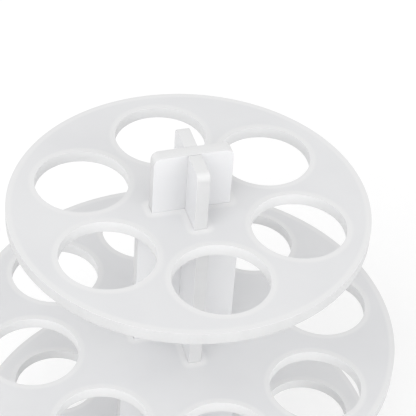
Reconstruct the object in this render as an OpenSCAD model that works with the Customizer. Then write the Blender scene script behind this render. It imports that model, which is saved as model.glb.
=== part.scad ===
// Three round plates with round holes, dropped over a stepped column.
// The column is two upright sheets that cross at right angles and lock by a notch in each.
// Every piece is cut from the same flat sheet, and nothing is glued or screwed.
// Origin: on the floor, under the centre of the column. X runs along the main panel, Z is up.

/* [Sheet] */
// Thickness of the sheet that every piece is cut from
sheet_t = 5; // [3:0.5:8]
// Gap on each side of a sheet where it passes through a slot or notch
side_play = 0.15; // [0.05:0.05:0.3]
// Gap at each end of a plate's slot
end_play = 0.8; // [0.2:0.1:1.2]

/* [Plates] */
// Diameter of the top plate
top_plate_d = 140; // [136:1:200]
// Diameter of the middle plate
middle_plate_d = 176; // [150:1:240]
// Diameter of the bottom plate
bottom_plate_d = 176; // [160:1:260]

/* [Holes] */
// Diameter of each round hole
hole_d = 36.5; // [16:0.5:44]
// Least material left between two neighbouring holes
hole_web = 6; // [3:0.5:12]
// Material left between a hole and the rim of the top plate
top_rim = 8.75; // [4:0.25:10]
// Material left between a hole and the rim of the two wider plates
wide_rim = 8.25; // [4:0.25:12]

/* [Column] */
// Height from one plate's top face to the next
storey_h = 67; // [40:1:120]
// Height of the tongue that stands above the top plate
tongue_h = 25.8; // [12:0.1:60]
// Width of that tongue
tongue_w = 31; // [20:0.5:40]
// Width of the shoulder that each plate rests on
shoulder_w = 5; // [2:0.5:6]
// Radius of the tongue's two upper corners
tongue_r = 3; // [1:0.5:6]

/* [Feet] */
// Height of the bottom plate's top face above the floor
leg_h = 67; // [60:1:120]
// Reach of each foot from the centre of the column
foot_reach = 78; // [60:1:84]
// Length of each foot on the floor
foot_pad = 18; // [10:1:24]
// Height of a foot at its outer end
foot_h = 11; // [8:0.5:14]
// Radius of a foot's outer upper corner
foot_r = 3; // [1:0.5:5]
// Height of the arch between two feet
arch_h = 22; // [12:1:26]

/* [Hidden] */
$fn = 120;

// Top faces of the plates, from the floor up
bottom_z = leg_h;
middle_z = bottom_z + storey_h;
top_z = middle_z + storey_h;
column_h = top_z + tongue_h;

// Widths of the column just above each plate's seat, and under the lowest one
above_top_w = tongue_w;
above_middle_w = above_top_w + 2 * shoulder_w;
above_bottom_w = above_middle_w + 2 * shoulder_w;
neck_w = above_bottom_w + 2 * shoulder_w;

// Height that the bottom plate rests at
seat_z = bottom_z - sheet_t;
// Radius of the hollow curve from the neck out to a foot, as large as reach and height allow
flare_r = min(foot_reach - foot_r - neck_w / 2, seat_z - foot_h);
// Half the floor span between two feet, and the radius of the arch over it
arch_half = foot_reach - foot_pad;
arch_r = (arch_half * arch_half + arch_h * arch_h) / (2 * arch_h);
// Height at which the two notches meet
lap_z = (arch_h + column_h) / 2;

// Overshoot of each cutting tool past the face that it cuts
cut = 1;
frosted = [0.89, 0.90, 0.91];

// Radius of the ring that the hole centres lie on
function ring_r(plate_d, rim) = plate_d / 2 - rim - hole_d / 2;

// As many holes as fit on that ring with the least web between them
function hole_count(plate_d, rim) =
    floor(180 / asin((hole_d + hole_web) / (2 * ring_r(plate_d, rim))));

// One slot through a plate for a panel of the given width, along X
module panel_slot(panel_w) {
    slot_l = panel_w + 2 * end_play;
    slot_w = sheet_t + 2 * side_play;
    translate([-slot_l / 2, -slot_w / 2, -cut])
        cube([slot_l, slot_w, sheet_t + 2 * cut]);
}

// Round holes evenly spaced on their ring, the first one on +Y
module hole_ring(plate_d, rim) {
    count = hole_count(plate_d, rim);
    for (i = [0 : count - 1])
        rotate([0, 0, 90 + i * 360 / count])
            translate([ring_r(plate_d, rim), 0, -cut])
                cylinder(h = sheet_t + 2 * cut, d = hole_d);
}

// A round plate whose top face is at z, slotted for the panels' width there
module plate(plate_d, rim, panel_w, z) {
    color(frosted)
        translate([0, 0, z - sheet_t])
            difference() {
                cylinder(h = sheet_t, d = plate_d);
                hole_ring(plate_d, rim);
                panel_slot(panel_w);
                rotate([0, 0, 90])
                    panel_slot(panel_w);
            }
}

// A rectangle centred on the column's axis, from the arch's crown up to z
module column_section(width, z) {
    translate([-width / 2, arch_h])
        square([width, z - arch_h]);
}

// The tongue, with its two upper corners rounded
module tongue_outline() {
    column_section(tongue_w, column_h - tongue_r);
    column_section(tongue_w - 2 * tongue_r, column_h);
    for (side = [-1, 1])
        translate([side * (tongue_w / 2 - tongue_r), column_h - tongue_r])
            circle(r = tongue_r);
}

// One foot: a bar with its outer corner rounded, and a hollow curve from the neck down to it
module foot_outline() {
    square([foot_reach, foot_h - foot_r]);
    square([foot_reach - foot_r, foot_h]);
    translate([foot_reach - foot_r, foot_h - foot_r])
        circle(r = foot_r);
    difference() {
        square([neck_w / 2 + flare_r, foot_h + flare_r]);
        translate([neck_w / 2 + flare_r, foot_h + flare_r])
            circle(r = flare_r);
    }
}

// The whole upright outline of one panel, before it is notched
module panel_outline() {
    tongue_outline();
    column_section(above_middle_w, top_z - sheet_t);
    column_section(above_bottom_w, middle_z - sheet_t);
    column_section(neck_w, seat_z);
    difference() {
        union() {
            foot_outline();
            mirror([1, 0])
                foot_outline();
        }
        translate([0, arch_h - arch_r])
            circle(r = arch_r);
    }
}

// A rectangle as wide as a sheet with play, from one height to another
module notch(from_z, to_z) {
    notch_w = sheet_t + 2 * side_play;
    translate([-notch_w / 2, from_z])
        square([notch_w, to_z - from_z]);
}

// A sheet standing on edge along X
module upright() {
    color(frosted)
        rotate([90, 0, 0])
            linear_extrude(height = sheet_t, center = true)
                children();
}

module top_plate() {
    plate(top_plate_d, top_rim, above_top_w, top_z);
}

module middle_plate() {
    plate(middle_plate_d, wide_rim, above_middle_w, middle_z);
}

module bottom_plate() {
    plate(bottom_plate_d, wide_rim, above_bottom_w, bottom_z);
}

// Notched from below, so it drops over the cross panel
module main_panel() {
    upright()
        difference() {
            panel_outline();
            notch(0, lap_z);
        }
}

// Notched from above, to take the main panel
module cross_panel() {
    rotate([0, 0, 90])
        upright()
            difference() {
                panel_outline();
                notch(lap_z, column_h + cut);
            }
}

top_plate();
middle_plate();
bottom_plate();
main_panel();
cross_panel();
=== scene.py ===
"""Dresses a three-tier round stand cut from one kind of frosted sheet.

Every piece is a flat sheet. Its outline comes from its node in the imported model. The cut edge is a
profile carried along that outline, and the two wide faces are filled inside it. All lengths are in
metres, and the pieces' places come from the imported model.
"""

import logging
import math
from dataclasses import dataclass
from enum import Enum

import bpy
import numpy as np
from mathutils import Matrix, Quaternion, Vector
from mathutils.geometry import delaunay_2d_cdt


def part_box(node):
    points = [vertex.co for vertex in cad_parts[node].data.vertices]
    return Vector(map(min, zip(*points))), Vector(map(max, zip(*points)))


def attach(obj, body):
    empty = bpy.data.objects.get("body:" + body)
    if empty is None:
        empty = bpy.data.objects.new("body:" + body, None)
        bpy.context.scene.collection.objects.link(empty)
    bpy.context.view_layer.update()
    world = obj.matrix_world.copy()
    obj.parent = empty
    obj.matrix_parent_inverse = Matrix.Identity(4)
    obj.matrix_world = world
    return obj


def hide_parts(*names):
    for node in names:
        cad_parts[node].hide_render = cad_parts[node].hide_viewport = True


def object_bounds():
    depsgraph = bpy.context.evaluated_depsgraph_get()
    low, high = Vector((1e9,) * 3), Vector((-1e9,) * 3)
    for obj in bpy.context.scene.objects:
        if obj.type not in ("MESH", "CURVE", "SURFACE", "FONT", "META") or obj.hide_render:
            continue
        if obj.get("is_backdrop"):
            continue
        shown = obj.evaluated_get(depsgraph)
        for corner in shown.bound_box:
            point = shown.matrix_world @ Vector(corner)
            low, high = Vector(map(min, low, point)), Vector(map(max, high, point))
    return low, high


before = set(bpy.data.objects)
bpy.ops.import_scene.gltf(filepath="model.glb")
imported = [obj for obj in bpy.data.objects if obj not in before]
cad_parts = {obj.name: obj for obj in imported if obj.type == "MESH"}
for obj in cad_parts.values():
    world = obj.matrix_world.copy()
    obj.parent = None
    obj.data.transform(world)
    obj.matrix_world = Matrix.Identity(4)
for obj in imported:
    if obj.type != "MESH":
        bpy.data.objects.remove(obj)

MM = 0.001
MICRONS_IN_METRE = 1e6

# Attributes of a sheet that its finishes read, to lay painted light over the sheet's colour
REACH = "reach_from_cut"
SLOT_REACH = "reach_from_slot"
# Share of painted light on a cut edge: upward edges and inner walls are painted lighter
PAINTED_LIGHT_ON_CUT = "painted_light_on_cut"
# The reach where no cut counts
FAR = 1.0

# Places nearer than this are on one line
ON_LINE = 2e-6
# Places nearer than this are one place when a face is filled
FILL_MERGE = 1e-9

# The middle of a noise value's range, which nearly all of it lies in
NOISE_LOW = 0.3
NOISE_HIGH = 0.7

log = logging.getLogger("stand")


class SheetWay(Enum):
    """Which way a flat sheet faces: its two wide axes, then the thin one, right-handed."""

    LYING = (0, 1, 2)
    FACING_X = (1, 2, 0)
    FACING_Y = (2, 0, 1)


class Fill(Enum):
    """Which of its triangles delaunay_2d_cdt gives back."""

    INSIDE = 1


@dataclass(frozen=True)
class Outline:
    """Closed outlines in a sheet's plane, with the material on the left of each step.

    Attributes:
        points: The places, one row of two numbers each.
        after: For each point, the number of the next one along its outline.
    """

    points: np.ndarray
    after: np.ndarray

    @staticmethod
    def of_node(node: bpy.types.Object, way: SheetWay) -> "Outline":
        """Reads the outlines from the upper wide face of a packed sheet.

        Vertices at the same place are taken as one. A side that only one triangle of the face has
        lies on an outline, and the direction that the triangle gives it keeps the material left.

        Args:
            node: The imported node, a closed flat sheet.
            way: Which way the sheet faces.

        Returns:
            The sheet's outlines, outer and inner.
        """
        mesh = node.data
        mesh.calc_loop_triangles()
        places = np.empty(len(mesh.vertices) * 3, np.float32)
        mesh.vertices.foreach_get("co", places)
        triangles = np.empty(len(mesh.loop_triangles) * 3, np.int32)
        mesh.loop_triangles.foreach_get("vertices", triangles)

        micron = np.round(places.reshape(-1, 3).astype(float) * MICRONS_IN_METRE).astype(np.int64)
        merged, number = np.unique(micron, axis=0, return_inverse=True)
        triangles = number.reshape(-1)[triangles].reshape(-1, 3)
        thin = merged[:, way.value[2]]
        upper = triangles[(thin[triangles] == thin.max()).all(axis=1)]

        sides = np.concatenate([upper[:, [0, 1]], upper[:, [1, 2]], upper[:, [2, 0]]])
        key = sides[:, 0] * len(merged) + sides[:, 1]
        turned = sides[:, 1] * len(merged) + sides[:, 0]
        rim = sides[~np.isin(key, turned)]
        rim = rim[np.argsort(rim[:, 0])]
        points = merged[rim[:, 0]][:, way.value[:2]] / MICRONS_IN_METRE
        return Outline(points, np.searchsorted(rim[:, 0], rim[:, 1]))

    def before(self) -> np.ndarray:
        """Turns the steps round.

        Returns:
            For each point, the number of the one before it.
        """
        back = np.empty_like(self.after)
        back[self.after] = np.arange(len(self.after))
        return back

    def directions(self) -> np.ndarray:
        """The unit step from each point to the next one."""
        step = self.points[self.after] - self.points
        return step / np.linalg.norm(step, axis=1, keepdims=True)

    def corners(self, least_turn: float = math.radians(20)) -> np.ndarray:
        """Finds the corners.

        Args:
            least_turn: Turns by more than this angle count.

        Returns:
            True at each corner.
        """
        leaving = self.directions()
        arriving = leaving[self.before()]
        return (leaving * arriving).sum(axis=1) < math.cos(least_turn)

    def all_round(self, found: np.ndarray) -> np.ndarray:
        """True at each point of an outline that has a found point on it.

        What each point knows is passed on to the point before it, then over two steps, four and so
        on, until it has gone all the way round.

        Args:
            found: True at the found points.

        Returns:
            One value for each point.
        """
        ahead = self.after
        for _ in range(len(ahead).bit_length()):
            found = found | found[ahead]
            ahead = ahead[ahead]
        return found

    def cornered(self) -> np.ndarray:
        """True at each point of an outline that has a corner, as a slot has and a round hole hasn't."""
        return self.all_round(self.corners())

    def outer(self) -> np.ndarray:
        """True at each point of the outline round everything else."""
        return self.all_round(self.points[:, 0] == self.points[:, 0].max())

    def with_snug_slots(self, side: float, closer: float, end_closer: float) -> "Outline":
        """Moves the sides of the slots and notches nearer to the sheets that pass through them.

        Args:
            side: Distance of a slot's sides from the middle of the stand.
            closer: How far they move.
            end_closer: How far the ends of a slot move.

        Returns:
            The outlines with their slots narrower.
        """
        away = np.abs(self.points)
        slot = self.cornered()[:, None]
        is_side = slot & (np.abs(away - side) < ON_LINE)
        is_end = slot & (away > side + ON_LINE)
        move = closer * is_side + end_closer * is_end
        return Outline(self.points - np.sign(self.points) * move, self.after)

    def refined(self) -> "Outline":
        """Adds a point in the middle of each step, on the curve through its neighbours.

        The middle of the step is moved by (a - b) / 16. Here a is the step before and b the one
        after, each cut to the length of this step where it is longer. Beyond a corner, the step
        itself stands for its neighbour.

        Returns:
            The outline with twice the points.
        """
        way = self.directions()
        ahead = self.points[self.after]
        length = np.linalg.norm(ahead - self.points, axis=1)
        corner = self.corners()
        before = np.where(corner, np.arange(len(corner)), self.before())
        later = np.where(corner[self.after], np.arange(len(corner)), self.after)
        arriving = way[before] * np.minimum(length, length[before])[:, None]
        leaving = way[later] * np.minimum(length, length[later])[:, None]
        middle = (self.points + ahead) / 2 + (arriving - leaving) / 16
        count = len(ahead)
        return Outline(
            np.concatenate([self.points, middle]),
            np.concatenate([np.arange(count) + count, self.after]),
        )

    def with_round_corners(self, reach: float, steps: int) -> "Outline":
        """Replaces each corner by a short parabola.

        The parabola runs from reach before the corner p to reach after it, and is
        (1 - t)^2 start + 2 t (1 - t) p + t^2 end for t from 0 to 1.

        Args:
            reach: How far from the corner the curve starts.
            steps: Steps along each curve.

        Returns:
            The outline with its corners rounded.
        """
        corner = self.corners()
        leaving = self.directions()
        arriving = leaving[self.before()]
        count = np.where(corner, steps + 1, 1)
        first = np.cumsum(count) - count
        source = np.repeat(np.arange(len(corner)), count)
        place = np.arange(len(source)) - first[source]
        t = (place / steps)[:, None]
        pull = reach * (t**2 * leaving[source] - (1 - t) ** 2 * arriving[source])
        points = self.points[source] + np.where(corner[source, None], pull, 0.0)
        last = place == count[source] - 1
        after = np.where(last, first[self.after[source]], np.arange(len(source)) + 1)
        return Outline(points, after)

    def outward(self) -> np.ndarray:
        """The outward unit normal (y, -x) of the step (x, y) from each point to the next one."""
        step = self.directions()
        return np.stack([step[:, 1], -step[:, 0]], axis=1)

    def inset(self, distance: np.ndarray) -> np.ndarray:
        """Moves the outlines into the material, with mitred corners.

        The mitre at a point is (a + b) / (1 + a.b) for the outward unit normals a and b of the
        steps before and after it.

        Args:
            distance: The distances to move by, one for each copy.

        Returns:
            An array of points by copies by two numbers.
        """
        outward = self.outward()
        other = outward[self.before()]
        mitre = (outward + other) / (1 + (outward * other).sum(axis=1, keepdims=True))
        return self.points[:, None, :] - distance[None, :, None] * mitre[:, None, :]

    def holds(self, places: np.ndarray) -> np.ndarray:
        """Which places are in the material.

        A place is in it if a line from there towards +X crosses the outlines an odd number of times.

        Args:
            places: The places, one row of two numbers each.

        Returns:
            True for each place in the material.
        """
        x, y = places.T[:, :, None]
        (start_x, start_y), (end_x, end_y) = self.points.T, self.points[self.after].T
        spans = (start_y > y) != (end_y > y)
        rise = np.where(end_y == start_y, 1.0, end_y - start_y)
        meets = start_x + (y - start_y) * (end_x - start_x) / rise
        return (spans & (x < meets)).sum(axis=1) % 2 == 1

    def distance(self, places: np.ndarray, chosen: np.ndarray | None = None) -> np.ndarray:
        """How far each place is from the nearest outline.

        The nearest point of a step is start + t (end - start), with t the share of the step that
        the place lies along, cut to 0 to 1.

        Args:
            places: The places, one row of two numbers each.
            chosen: True for each point whose step counts. All of them count if this is left out.

        Returns:
            The distances.
        """
        start = self.points if chosen is None else self.points[chosen]
        step = (self.points[self.after] if chosen is None else self.points[self.after[chosen]]) - start
        away = places[:, None, :] - start[None, :, :]
        share = ((away * step).sum(axis=2) / (step**2).sum(axis=1)).clip(0, 1)
        return np.linalg.norm(away - share[:, :, None] * step, axis=2).min(axis=1)

    def spots(self, gap: float, clear: float = 0.6) -> np.ndarray:
        """Places in the material on a grid of equal triangles, clear of the outlines.

        Args:
            gap: Distance between two neighbouring places.
            clear: Least distance from an outline, as a share of the gap.

        Returns:
            The places, one row of two numbers each.
        """
        low, high = self.points.min(axis=0), self.points.max(axis=0)
        row_gap = gap * math.sqrt(0.75)
        rows, columns = np.mgrid[0 : (high[1] - low[1]) / row_gap, 0 : (high[0] - low[0]) / gap]
        x = low[0] + gap * (columns + 0.5 * (rows % 2))
        y = low[1] + row_gap * rows
        places = np.stack([x.ravel(), y.ravel()], axis=1)
        places = places[self.holds(places)]
        return places[self.distance(places) > clear * gap]

    def filled(self, spots: np.ndarray) -> np.ndarray:
        """Triangles that fill the outlines through the spots, and leave their holes open.

        Args:
            spots: Places in the material, one row of two numbers each.

        Returns:
            Rows of three numbers, anticlockwise. The spots are numbered on from the points.
        """
        places = np.concatenate([self.points, spots])
        steps = np.stack([np.arange(len(self.points)), self.after], axis=1)
        found = delaunay_2d_cdt(places.tolist(), steps.tolist(), [], Fill.INSIDE.value, FILL_MERGE)
        origin = np.array([numbers[0] for numbers in found[3]])
        triangles = origin[np.array(found[2])]
        return triangles[self.holds(places[triangles].mean(axis=1))]


class NodeBench:
    """Lays out the nodes of one material or world."""

    # Places of the colour sockets on a Mix node
    FIRST_COLOUR = 6
    SECOND_COLOUR = 7
    MIXED_COLOUR = 2

    def __init__(self, owner: bpy.types.Material | bpy.types.World) -> None:
        """Clears the owner's node tree.

        Args:
            owner: The material or world to build.
        """
        owner.use_nodes = True
        self.tree = owner.node_tree
        self.tree.nodes.clear()

    def add(self, kind: str, settings: dict | None = None, **sockets: object) -> bpy.types.Node:
        """Adds a node.

        Args:
            kind: The node's type name.
            settings: Properties to set on it.
            sockets: Input sockets by name, with _ for a space: a value, or an output to link.

        Returns:
            The new node.
        """
        node = self.tree.nodes.new(kind)
        for name, value in (settings or {}).items():
            setattr(node, name, value)
        for name, value in sockets.items():
            self.join(value, node.inputs[name.replace("_", " ")])
        return node

    def join(self, value: object, socket: bpy.types.NodeSocket) -> None:
        """Feeds a socket.

        Args:
            value: An output to link, or a plain value to set.
            socket: The input socket.
        """
        if isinstance(value, bpy.types.NodeSocket):
            self.tree.links.new(value, socket)
        else:
            socket.default_value = value

    def noise(self, place: bpy.types.NodeSocket, scale: float, detail: float) -> bpy.types.NodeSocket:
        """A noise value about one half, changing over 1 / scale metres."""
        made = self.add("ShaderNodeTexNoise", Vector=place, Scale=scale, Detail=detail)
        return made.outputs[0]

    def remap(self, value: bpy.types.NodeSocket, low: float, high: float) -> bpy.types.NodeSocket:
        """Spreads the middle of a noise value from low to high.

        Args:
            value: The noise value.
            low: What the middle's lower end becomes.
            high: What its upper end becomes.

        Returns:
            The spread value.
        """
        made = self.add(
            "ShaderNodeMapRange",
            Value=value,
            From_Min=NOISE_LOW,
            From_Max=NOISE_HIGH,
            To_Min=low,
            To_Max=high,
        )
        return made.outputs[0]

    def combined(self, way: str, first: object, second: object) -> bpy.types.NodeSocket:
        """Works out one value from two.

        Args:
            way: Name of the Math node's operation.
            first: A value, or an output to link.
            second: Another.

        Returns:
            The outcome.
        """
        made = self.add("ShaderNodeMath", {"operation": way})
        self.join(first, made.inputs[0])
        self.join(second, made.inputs[1])
        return made.outputs[0]

    def tint(self, share: bpy.types.NodeSocket, first: object, second: object) -> bpy.types.NodeSocket:
        """Mixes two colours.

        Args:
            share: How much of the second one to take.
            first: A colour, or an output to link.
            second: Another.

        Returns:
            The mixed colour.
        """
        made = self.add("ShaderNodeMix", {"data_type": "RGBA"}, Factor=share)
        self.join(first, made.inputs[self.FIRST_COLOUR])
        self.join(second, made.inputs[self.SECOND_COLOUR])
        return made.outputs[self.MIXED_COLOUR]


@dataclass(frozen=True)
class LightBand:
    """Painted light: a lighter tint that follows one of a sheet's attributes.

    Attributes:
        attribute: Name of the attribute.
        full: Its value where the tint is full.
        none: Its value where the tint has gone.
        colour: The tint.
    """

    attribute: str
    full: float
    none: float
    colour: tuple[float, float, float]


@dataclass(frozen=True)
class AcrylicFinish:
    """A finish of white frosted acrylic, clouded and grained, with painted light laid over it in bands.

    Attributes:
        name: Name of the finish.
        dark: Colour where the cloud is thickest.
        light: Colour where it is thinnest.
        rough: Mean roughness.
        rough_spread: How far the roughness strays from that.
        cloud: Size of a cloud in the sheet.
        grain: Size of a grain on the surface.
        grain_depth: Height of the grain.
        stretch: How much longer a grain is across the sheet's thickness than along it.
        light_bands: Painted light: lighter tints beside the cuts, or on the cut edges where less light
            reaches them.
        ior: Index of refraction.
        cloud_detail: Levels of detail in the clouds.
        grain_detail: Levels of detail in the grain.
        cloud_share: How much of the colour's change the clouds make. The grain makes the rest.
        patterns: How many places the pattern may start from.
        pattern_step: Distance between two of those places.
    """

    name: str
    dark: tuple[float, float, float]
    light: tuple[float, float, float]
    rough: float
    rough_spread: float
    cloud: float
    grain: float
    grain_depth: float
    stretch: float
    light_bands: tuple[LightBand, ...]
    ior: float = 1.49
    cloud_detail: float = 3.0
    grain_detail: float = 2.0
    cloud_share: float = 0.7
    patterns: int = 7
    pattern_step: float = 0.1

    def lines(self, bench: NodeBench, piece: str, way: SheetWay) -> bpy.types.NodeSocket:
        """Places on the piece, stretched across the sheet and moved by the piece's name.

        Args:
            bench: The material's bench.
            piece: Name of the piece.
            way: Which way the sheet faces.

        Returns:
            The place that the pattern is read at.
        """
        place = bench.add("ShaderNodeTexCoord").outputs["Object"]
        scale = [1.0, 1.0, 1.0]
        scale[way.value[2]] = 1 / self.stretch
        shift = [self.pattern_step * (sum(map(ord, piece)) % self.patterns)] * 3
        return bench.add("ShaderNodeMapping", Vector=place, Location=shift, Scale=scale).outputs[0]

    def colour(
        self, bench: NodeBench, cloud: bpy.types.NodeSocket, grain: bpy.types.NodeSocket
    ) -> bpy.types.NodeSocket:
        """Mixes the dark and light colours by cloud and grain, and lays the bands of painted light over
        them.

        Args:
            bench: The material's bench.
            cloud: Noise value of the clouds.
            grain: Noise value of the grain.

        Returns:
            The colour.
        """
        clouds = bench.remap(cloud, 0.0, self.cloud_share)
        grains = bench.remap(grain, 0.0, 1 - self.cloud_share)
        both = bench.combined("ADD", clouds, grains)
        colour = bench.tint(both, (*self.dark, 1.0), (*self.light, 1.0))
        # Each band paints light over the colour where its attribute says
        for band in self.light_bands:
            value = bench.add("ShaderNodeAttribute", {"attribute_name": band.attribute})
            share = bench.add(
                "ShaderNodeMapRange",
                {"interpolation_type": "SMOOTHSTEP"},
                Value=value.outputs["Fac"],
                From_Min=band.none,
                From_Max=band.full,
            )
            colour = bench.tint(share.outputs[0], colour, (*band.colour, 1.0))
        return colour

    def made(self, piece: str, way: SheetWay) -> bpy.types.Material:
        """Builds the material for one piece.

        Args:
            piece: Name of the piece, which also moves the pattern.
            way: Which way the sheet faces.

        Returns:
            The material.
        """
        material = bpy.data.materials.new(f"{piece}_{self.name}")
        bench = NodeBench(material)
        lines = self.lines(bench, piece, way)
        cloud = bench.noise(lines, 1 / self.cloud, self.cloud_detail)
        grain = bench.noise(lines, 1 / self.grain, self.grain_detail)
        bump = bench.add("ShaderNodeBump", Height=grain, Strength=1.0, Distance=self.grain_depth)
        shader = bench.add(
            "ShaderNodeBsdfPrincipled",
            Base_Color=self.colour(bench, cloud, grain),
            Roughness=bench.remap(grain, self.rough - self.rough_spread, self.rough + self.rough_spread),
            Normal=bump.outputs[0],
            IOR=self.ior,
        )
        bench.add("ShaderNodeOutputMaterial", Surface=shader.outputs[0])
        return material


FROSTED_FACE = AcrylicFinish(
    name="frosted_face",
    dark=(0.700, 0.703, 0.716),
    light=(0.745, 0.748, 0.755),
    rough=0.40,
    rough_spread=0.04,
    cloud=30 * MM,
    grain=0.35 * MM,
    grain_depth=0.002 * MM,
    stretch=1.0,
    # Painted light: lighter bands within a few millimetres of every cut, for light coming through the
    # frosted sheet at its edges, and lighter still beside the slots, covering the shade in the gaps there
    light_bands=(
        LightBand(REACH, 1.5 * MM, 3.0 * MM, (0.760, 0.761, 0.765)),
        LightBand(SLOT_REACH, 0.9 * MM, 3.6 * MM, (0.80, 0.801, 0.805)),
    ),
)
CUT_EDGE = AcrylicFinish(
    name="cut_edge",
    # Painted shade: the cut edge is darker than the face of the same sheet, because upright edges catch
    # more of the light from the sides
    dark=(0.590, 0.592, 0.596),
    light=(0.630, 0.632, 0.635),
    rough=0.45,
    rough_spread=0.05,
    cloud=8 * MM,
    grain=0.25 * MM,
    grain_depth=0.002 * MM,
    stretch=12.0,
    # Painted light: cut edges that face up, and the walls of holes and slots, are lighter, where less
    # light reaches them
    light_bands=(LightBand(PAINTED_LIGHT_ON_CUT, 1.0, 0.0, (0.740, 0.742, 0.745)),),
)


@dataclass(frozen=True)
class SheetSurface:
    """The surface of one flat sheet.

    Its vertices are a grid of outline points by profile points, then the spots of the upper face
    and those of the lower one.

    Attributes:
        outline: The outlines of the sheet.
        inset: How far each profile point lies inside them.
        height: Height of each profile point, from the upper face down to the lower one.
        spots: Places in the wide faces, one row of two numbers each.
    """

    outline: Outline
    inset: np.ndarray
    height: np.ndarray
    spots: np.ndarray

    def vertices(self, way: SheetWay) -> np.ndarray:
        """Puts the vertices in space.

        Args:
            way: Which way the sheet faces.

        Returns:
            The vertices, one row of three numbers each.
        """
        grid = np.empty((len(self.outline.points), len(self.inset), 3))
        grid[:, :, way.value[:2]] = self.outline.inset(self.inset)
        grid[:, :, way.value[2]] = self.height
        wide = np.empty((2, len(self.spots), 3))
        wide[:, :, way.value[:2]] = self.spots
        wide[:, :, way.value[2]] = self.height[[0, -1], None]
        return np.concatenate([grid.reshape(-1, 3), wide.reshape(-1, 3)])

    def at_vertices(self, on_grid: np.ndarray | float, on_spots: np.ndarray | float) -> np.ndarray:
        """Lists one value for each vertex.

        Args:
            on_grid: Values that spread over outline points by profile points.
            on_spots: Values that spread over the spots.

        Returns:
            The values in the order of the vertices.
        """
        grid = np.broadcast_to(on_grid, (len(self.outline.points), len(self.inset)))
        wide = np.broadcast_to(on_spots, (2, len(self.spots)))
        return np.concatenate([grid.ravel(), wide.ravel()])

    def side_faces(self) -> np.ndarray:
        """Joins each outline point to the next one, from each profile point to the next one.

        Returns:
            Rows of four vertex numbers, with the faces of one step of the outline together.
        """
        rows = len(self.inset)
        down = np.arange(rows - 1)[None, :]
        here = np.arange(len(self.outline.points))[:, None] * rows + down
        ahead = self.outline.after[:, None] * rows + down
        return np.stack([here, here + 1, ahead + 1, ahead], axis=2).reshape(-1, 4)

    def wide_faces(self) -> np.ndarray:
        """Fills the upper face inside its rim, and gives the lower one the same triangles, turned.

        Returns:
            Rows of three vertex numbers.
        """
        rows = len(self.inset)
        rim = np.arange(len(self.outline.points)) * rows
        upper = np.arange(len(self.spots)) + len(rim) * rows
        inner = Outline(self.outline.inset(self.inset[:1])[:, 0], self.outline.after)
        found = inner.filled(self.spots)
        lower = np.concatenate([rim + rows - 1, upper + len(upper)])
        return np.concatenate([np.concatenate([rim, upper])[found], lower[found[:, ::-1]]])


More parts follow.
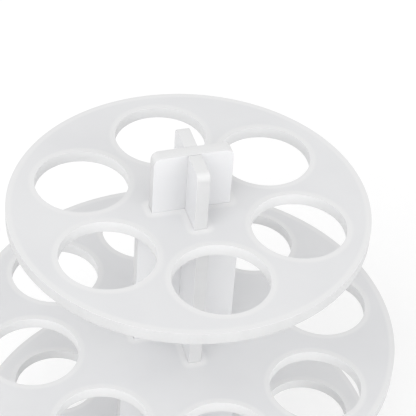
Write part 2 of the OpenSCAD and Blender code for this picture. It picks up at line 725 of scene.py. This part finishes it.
@dataclass
class CutSheet:
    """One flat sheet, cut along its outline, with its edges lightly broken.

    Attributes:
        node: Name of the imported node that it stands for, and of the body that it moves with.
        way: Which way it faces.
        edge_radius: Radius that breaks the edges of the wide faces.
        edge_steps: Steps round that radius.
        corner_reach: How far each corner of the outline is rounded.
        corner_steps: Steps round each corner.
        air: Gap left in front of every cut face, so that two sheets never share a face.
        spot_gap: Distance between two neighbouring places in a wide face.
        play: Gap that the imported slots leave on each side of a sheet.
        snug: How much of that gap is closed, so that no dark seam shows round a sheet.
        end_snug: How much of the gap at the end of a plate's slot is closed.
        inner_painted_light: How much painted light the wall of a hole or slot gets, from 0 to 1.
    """

    node: str
    way: SheetWay
    edge_radius: float = 0.05 * MM
    edge_steps: int = 3
    corner_reach: float = 0.4 * MM
    corner_steps: int = 3
    air: float = 0.01 * MM
    spot_gap: float = 2.0 * MM
    play: float = 0.15 * MM
    snug: float = 0.12 * MM
    end_snug: float = 0.76 * MM
    inner_painted_light: float = 0.65

    def lies(self) -> bool:
        """True for a plate, False for a panel of the column."""
        return self.way is SheetWay.LYING

    def faces(self) -> tuple[float, float]:
        """Heights of the lower and the upper face."""
        low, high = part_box(self.node)
        return low[self.way.value[2]], high[self.way.value[2]]

    def cut(self) -> Outline:
        """Reads the outlines, and makes the slots and notches snug.

        Only a plate's slots have ends that move. A panel's notches have none.

        Returns:
            The outlines.
        """
        low, high = self.faces()
        packed = Outline.of_node(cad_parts[self.node], self.way)
        end_closer = self.end_snug if self.lies() else 0.0
        return packed.with_snug_slots((high - low) / 2 + self.play, self.snug, end_closer)

    def profile(self) -> tuple[np.ndarray, np.ndarray]:
        """The cut edge from the upper face down to the lower one.

        Two quarter circles of edge_radius join a straight side: the inset is
        r (1 - sin a) and the height under the face is r (1 - cos a), for a from 0 to 90 degrees.

        Returns:
            The insets and the heights, in order.
        """
        low, high = self.faces()
        turn = np.linspace(0, math.pi / 2, self.edge_steps + 1)
        inset = self.air + self.edge_radius * (1 - np.sin(turn))
        drop = self.edge_radius * (1 - np.cos(turn))
        return np.concatenate([inset, inset[::-1]]), np.concatenate([high - drop, low + drop[::-1]])

    def painted_light_share(self, outline: Outline) -> np.ndarray:
        """The share of painted light on the cut edge, lighter where less light reaches it.

        On the outer edge it is the upward part of the outward normal, from 0 where the edge stands
        upright to 1 where it faces up. A hole or slot has inner_painted_light all round.

        Args:
            outline: The outlines of the sheet.

        Returns:
            One value for each point.
        """
        outward = np.zeros((len(outline.points), 3))
        outward[:, self.way.value[:2]] = outline.outward()
        return np.where(outline.outer(), outward[:, 2].clip(0, 1), self.inner_painted_light)

    def attributes(self, cut: Outline, surface: SheetSurface) -> dict[str, np.ndarray]:
        """Works out what the finishes read to place their painted light. A panel has no painted bands on
        its wide faces.

        Args:
            cut: The outlines before their corners are rounded.
            surface: The sheet's surface.

        Returns:
            One value for each vertex, by the attribute's name.
        """
        reach = slot_reach = surface.at_vertices(FAR, FAR)
        # Painted light beside the cuts, and lighter still beside the slots, on the plates' wide faces
        if self.lies():
            rim = surface.outline.inset(surface.inset[:1])[:, 0]
            slots = cut.cornered()
            reach = surface.at_vertices(surface.inset, cut.distance(surface.spots))
            slot_reach = surface.at_vertices(
                cut.distance(rim, slots)[:, None], cut.distance(surface.spots, slots)
            )
        # Painted light on the cut edges: upward edges and inner walls lighter
        painted_light_share = surface.at_vertices(self.painted_light_share(surface.outline)[:, None], 1.0)
        return {REACH: reach, SLOT_REACH: slot_reach, PAINTED_LIGHT_ON_CUT: painted_light_share}

    def mesh(self) -> bpy.types.Mesh:
        """Carries the profile along the outlines, and fills the two wide faces.

        Returns:
            The closed mesh, with the straight part of the cut edge in slot 1 and the rest in slot 0.
        """
        cut = self.cut()
        outline = cut.refined().with_round_corners(self.corner_reach, self.corner_steps)
        surface = SheetSurface(outline, *self.profile(), cut.spots(self.spot_gap))
        side = surface.side_faces()
        mesh = bpy.data.meshes.new(self.node)
        faces = side.tolist() + surface.wide_faces().tolist()
        mesh.from_pydata(surface.vertices(self.way).tolist(), [], faces)
        for name, values in self.attributes(cut, surface).items():
            mesh.attributes.new(name, "FLOAT", "POINT").data.foreach_set("value", values)

        number = np.arange(len(faces))
        is_side = number < len(side)
        is_straight = is_side & (number % (len(surface.inset) - 1) == self.edge_steps)
        mesh.polygons.foreach_set("material_index", is_straight.astype(np.int32))
        mesh.polygons.foreach_set("use_smooth", is_side)
        mesh.update()
        return mesh

    def build(self) -> bpy.types.Object:
        """Makes the sheet, dresses it and puts it on its body.

        Returns:
            The finished piece.
        """
        piece = bpy.data.objects.new(f"{self.node}_sheet", self.mesh())
        bpy.context.scene.collection.objects.link(piece)
        for finish in (FROSTED_FACE, CUT_EDGE):
            piece.data.materials.append(finish.made(self.node, self.way))
        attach(piece, self.node)
        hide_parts(self.node)
        return piece


@dataclass
class Stand:
    """The whole stand: three plates on a column of two crossing panels.

    Attributes:
        plates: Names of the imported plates.
    """

    plates: tuple[str, ...] = ("top_plate", "middle_plate", "bottom_plate")

    def sheets(self) -> list[CutSheet]:
        """Every sheet of the stand, from the column outwards."""
        panels = [CutSheet("cross_panel", SheetWay.FACING_X), CutSheet("main_panel", SheetWay.FACING_Y)]
        return panels + [CutSheet(plate, SheetWay.LYING) for plate in self.plates]

    def build(self) -> list[bpy.types.Object]:
        """Builds every sheet.

        Returns:
            The finished pieces.
        """
        pieces = []
        for sheet in self.sheets():
            piece = sheet.build()
            log.info("%s: %d faces", piece.name, len(piece.data.polygons))
            pieces.append(piece)
        return pieces


def look_at(place: Vector, aim: Vector, roll: float = 0.0) -> Quaternion:
    """The turn that points an object's -Z from place to aim, rolled about its own Z in radians."""
    return (aim - place).to_track_quat("-Z", "Y") @ Quaternion((0, 0, 1), roll)


def from_aim(aim: Vector, azimuth_deg: float, elevation_deg: float, distance: float) -> Vector:
    """Finds the place that aim sees at an angle.

    Args:
        aim: Where the angles and the distance start.
        azimuth_deg: Angle from -Y towards +X.
        elevation_deg: Angle above the horizon.
        distance: How far the place is from aim.

    Returns:
        The place.
    """
    azimuth, elevation = math.radians(azimuth_deg), math.radians(elevation_deg)
    flat = math.cos(elevation)
    way = Vector((math.sin(azimuth) * flat, -math.cos(azimuth) * flat, math.sin(elevation)))
    return aim + way * distance


@dataclass(frozen=True)
class SoftLamp:
    """A square area lamp that looks at the stand.

    Attributes:
        name: Name of the lamp.
        azimuth_deg: Its angle from -Y towards +X.
        elevation_deg: Its angle above the horizon.
        distance: How far it is from what it looks at.
        size: Width of the lamp.
        power: Its power in watts.
    """

    name: str
    azimuth_deg: float
    elevation_deg: float
    distance: float
    size: float
    power: float

    def build(self, aim: Vector) -> None:
        """Makes the lamp.

        Args:
            aim: What it looks at.
        """
        light = bpy.data.lights.new(self.name, "AREA")
        light.size = self.size
        light.energy = self.power
        lamp = bpy.data.objects.new(self.name, light)
        lamp.location = from_aim(aim, self.azimuth_deg, self.elevation_deg, self.distance)
        lamp.rotation_mode = "QUATERNION"
        lamp.rotation_quaternion = look_at(lamp.location, aim)
        bpy.context.scene.collection.objects.link(lamp)


@dataclass(frozen=True)
class Studio:
    """The pale floor, the soft light round it and the camera.

    Attributes:
        floor_half: Half the floor's width.
        floor_grey: Lightest grey of the floor.
        floor_spread: How much darker its grain goes.
        floor_grains: How many grains there are in a metre.
        floor_detail: Levels of detail in the grain.
        near_lift: What the floor adds where it is seen, so that it shows white where it is lit.
        far_lift: The same far from the stand, where the lamps don't reach.
        near: Distance from the stand where the lift starts to grow.
        far: Distance where it is full.
        sky_low: Strength of the light from all round, near the floor.
        sky_top: Strength of the light from overhead.
        lamps: The lamps.
        aim_offset: From the centre of the top plate's upper face to what the camera looks at.
        azimuth_deg: The camera's angle from -Y towards +X.
        elevation_deg: Its angle above the horizon.
        distance: How far it is from what it looks at.
        roll_deg: Its turn about its own axis.
        lens: Its focal length in millimetres.
    """

    floor_half: float = 6.0
    floor_grey: float = 0.9
    floor_spread: float = 0.01
    floor_grains: float = 900.0
    floor_detail: float = 3.0
    near_lift: float = 0.14
    far_lift: float = 0.29
    near: float = 0.35
    far: float = 1.2
    sky_low: float = 1.48
    sky_top: float = 0.47
    lamps: tuple[SoftLamp, ...] = (
        SoftLamp("key", azimuth_deg=-48.0, elevation_deg=43.0, distance=1.6, size=1.1, power=8.5),
        SoftLamp("right", azimuth_deg=32.0, elevation_deg=22.0, distance=1.6, size=1.1, power=5.2),
    )
    aim_offset: tuple[float, float, float] = (6.22 * MM, -4.20 * MM, 0.0)
    azimuth_deg: float = -19.13
    elevation_deg: float = 40.70
    distance: float = 0.58675
    roll_deg: float = 4.425
    lens: float = 133.01

    def seen(self, bench: NodeBench) -> bpy.types.NodeSocket:
        """Tells what is seen from what only lights the stand.

        Args:
            bench: Where the nodes go.

        Returns:
            1 for rays from the camera, mirrored ones and ones through a surface, else 0.
        """
        path = bench.add("ShaderNodeLightPath")
        mirrored = bench.combined("MAXIMUM", path.outputs["Is Camera Ray"], path.outputs["Is Glossy Ray"])
        return bench.combined("MAXIMUM", mirrored, path.outputs["Is Transmission Ray"])

    def build_world(self) -> None:
        """Lights the scene from all round, and shows white behind it."""
        world = bpy.data.worlds.new("studio")
        bpy.context.scene.world = world
        bench = NodeBench(world)
        way = bench.add("ShaderNodeTexCoord").outputs["Generated"]
        height = bench.add("ShaderNodeSeparateXYZ", Vector=way).outputs["Z"]
        soft = bench.add("ShaderNodeMapRange", Value=height, To_Min=self.sky_low, To_Max=self.sky_top)
        strength = bench.add(
            "ShaderNodeMapRange", Value=self.seen(bench), To_Min=soft.outputs[0], To_Max=1.0
        )
        sky = bench.add(
            "ShaderNodeBackground", Color=(1.0, 1.0, 1.0, 1.0), Strength=strength.outputs[0]
        )
        bench.add("ShaderNodeOutputWorld", Surface=sky.outputs[0])

    def floor_paper(self) -> bpy.types.Material:
        """Makes the floor's material: pale paper, lifted to white where it is seen.

        Returns:
            The material.
        """
        material = bpy.data.materials.new("floor_paper")
        bench = NodeBench(material)
        place = bench.add("ShaderNodeTexCoord").outputs["Object"]
        grain = bench.noise(place, self.floor_grains, self.floor_detail)
        grey = bench.remap(grain, self.floor_grey - self.floor_spread, self.floor_grey)
        away = bench.add("ShaderNodeVectorMath", {"operation": "LENGTH"}, Vector=place)
        spread = bench.add(
            "ShaderNodeMapRange",
            Value=away.outputs["Value"],
            From_Min=self.near,
            From_Max=self.far,
            To_Min=self.near_lift,
            To_Max=self.far_lift,
        )
        lift = bench.add(
            "ShaderNodeMapRange", Value=self.seen(bench), To_Min=0.0, To_Max=spread.outputs[0]
        )
        paper = bench.add("ShaderNodeBsdfDiffuse", Color=grey)
        glow = bench.add("ShaderNodeEmission", Color=(1.0, 1.0, 1.0, 1.0), Strength=lift.outputs[0])
        both = bench.add("ShaderNodeAddShader")
        bench.join(paper.outputs[0], both.inputs[0])
        bench.join(glow.outputs[0], both.inputs[1])
        bench.add("ShaderNodeOutputMaterial", Surface=both.outputs[0])
        return material

    def build_floor(self, height: float) -> None:
        """Makes the floor.

        Args:
            height: Height of the floor.
        """
        half = self.floor_half
        corners = [(-half, -half), (half, -half), (half, half), (-half, half)]
        mesh = bpy.data.meshes.new("floor")
        mesh.from_pydata([(x, y, height) for x, y in corners], [], [(0, 1, 2, 3)])
        mesh.materials.append(self.floor_paper())
        floor = bpy.data.objects.new("floor", mesh)
        bpy.context.scene.collection.objects.link(floor)
        floor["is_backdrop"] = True

    def build_camera(self, centre: Vector) -> None:
        """Makes the camera.

        Args:
            centre: The centre of the top plate's upper face.
        """
        data = bpy.data.cameras.new("camera")
        data.lens = self.lens
        camera = bpy.data.objects.new("camera", data)
        aim = centre + Vector(self.aim_offset)
        camera.location = from_aim(aim, self.azimuth_deg, self.elevation_deg, self.distance)
        camera.rotation_mode = "QUATERNION"
        camera.rotation_quaternion = look_at(camera.location, aim, math.radians(self.roll_deg))
        bpy.context.scene.collection.objects.link(camera)
        bpy.context.scene.camera = camera

    def build(self) -> None:
        """Builds everything round the stand."""
        low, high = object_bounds()
        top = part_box("top_plate")[1].z
        centre = Vector(((low.x + high.x) / 2, (low.y + high.y) / 2, top))
        self.build_world()
        self.build_floor(low.z)
        for lamp in self.lamps:
            lamp.build(centre)
        self.build_camera(centre)
        bpy.context.scene.view_settings.view_transform = "Standard"


def main() -> None:
    """Builds the stand and the studio."""
    logging.basicConfig(level=logging.INFO, format="%(name)s: %(message)s")
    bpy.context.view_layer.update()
    Stand().build()
    Studio().build()


if __name__ == "__main__":
    main()
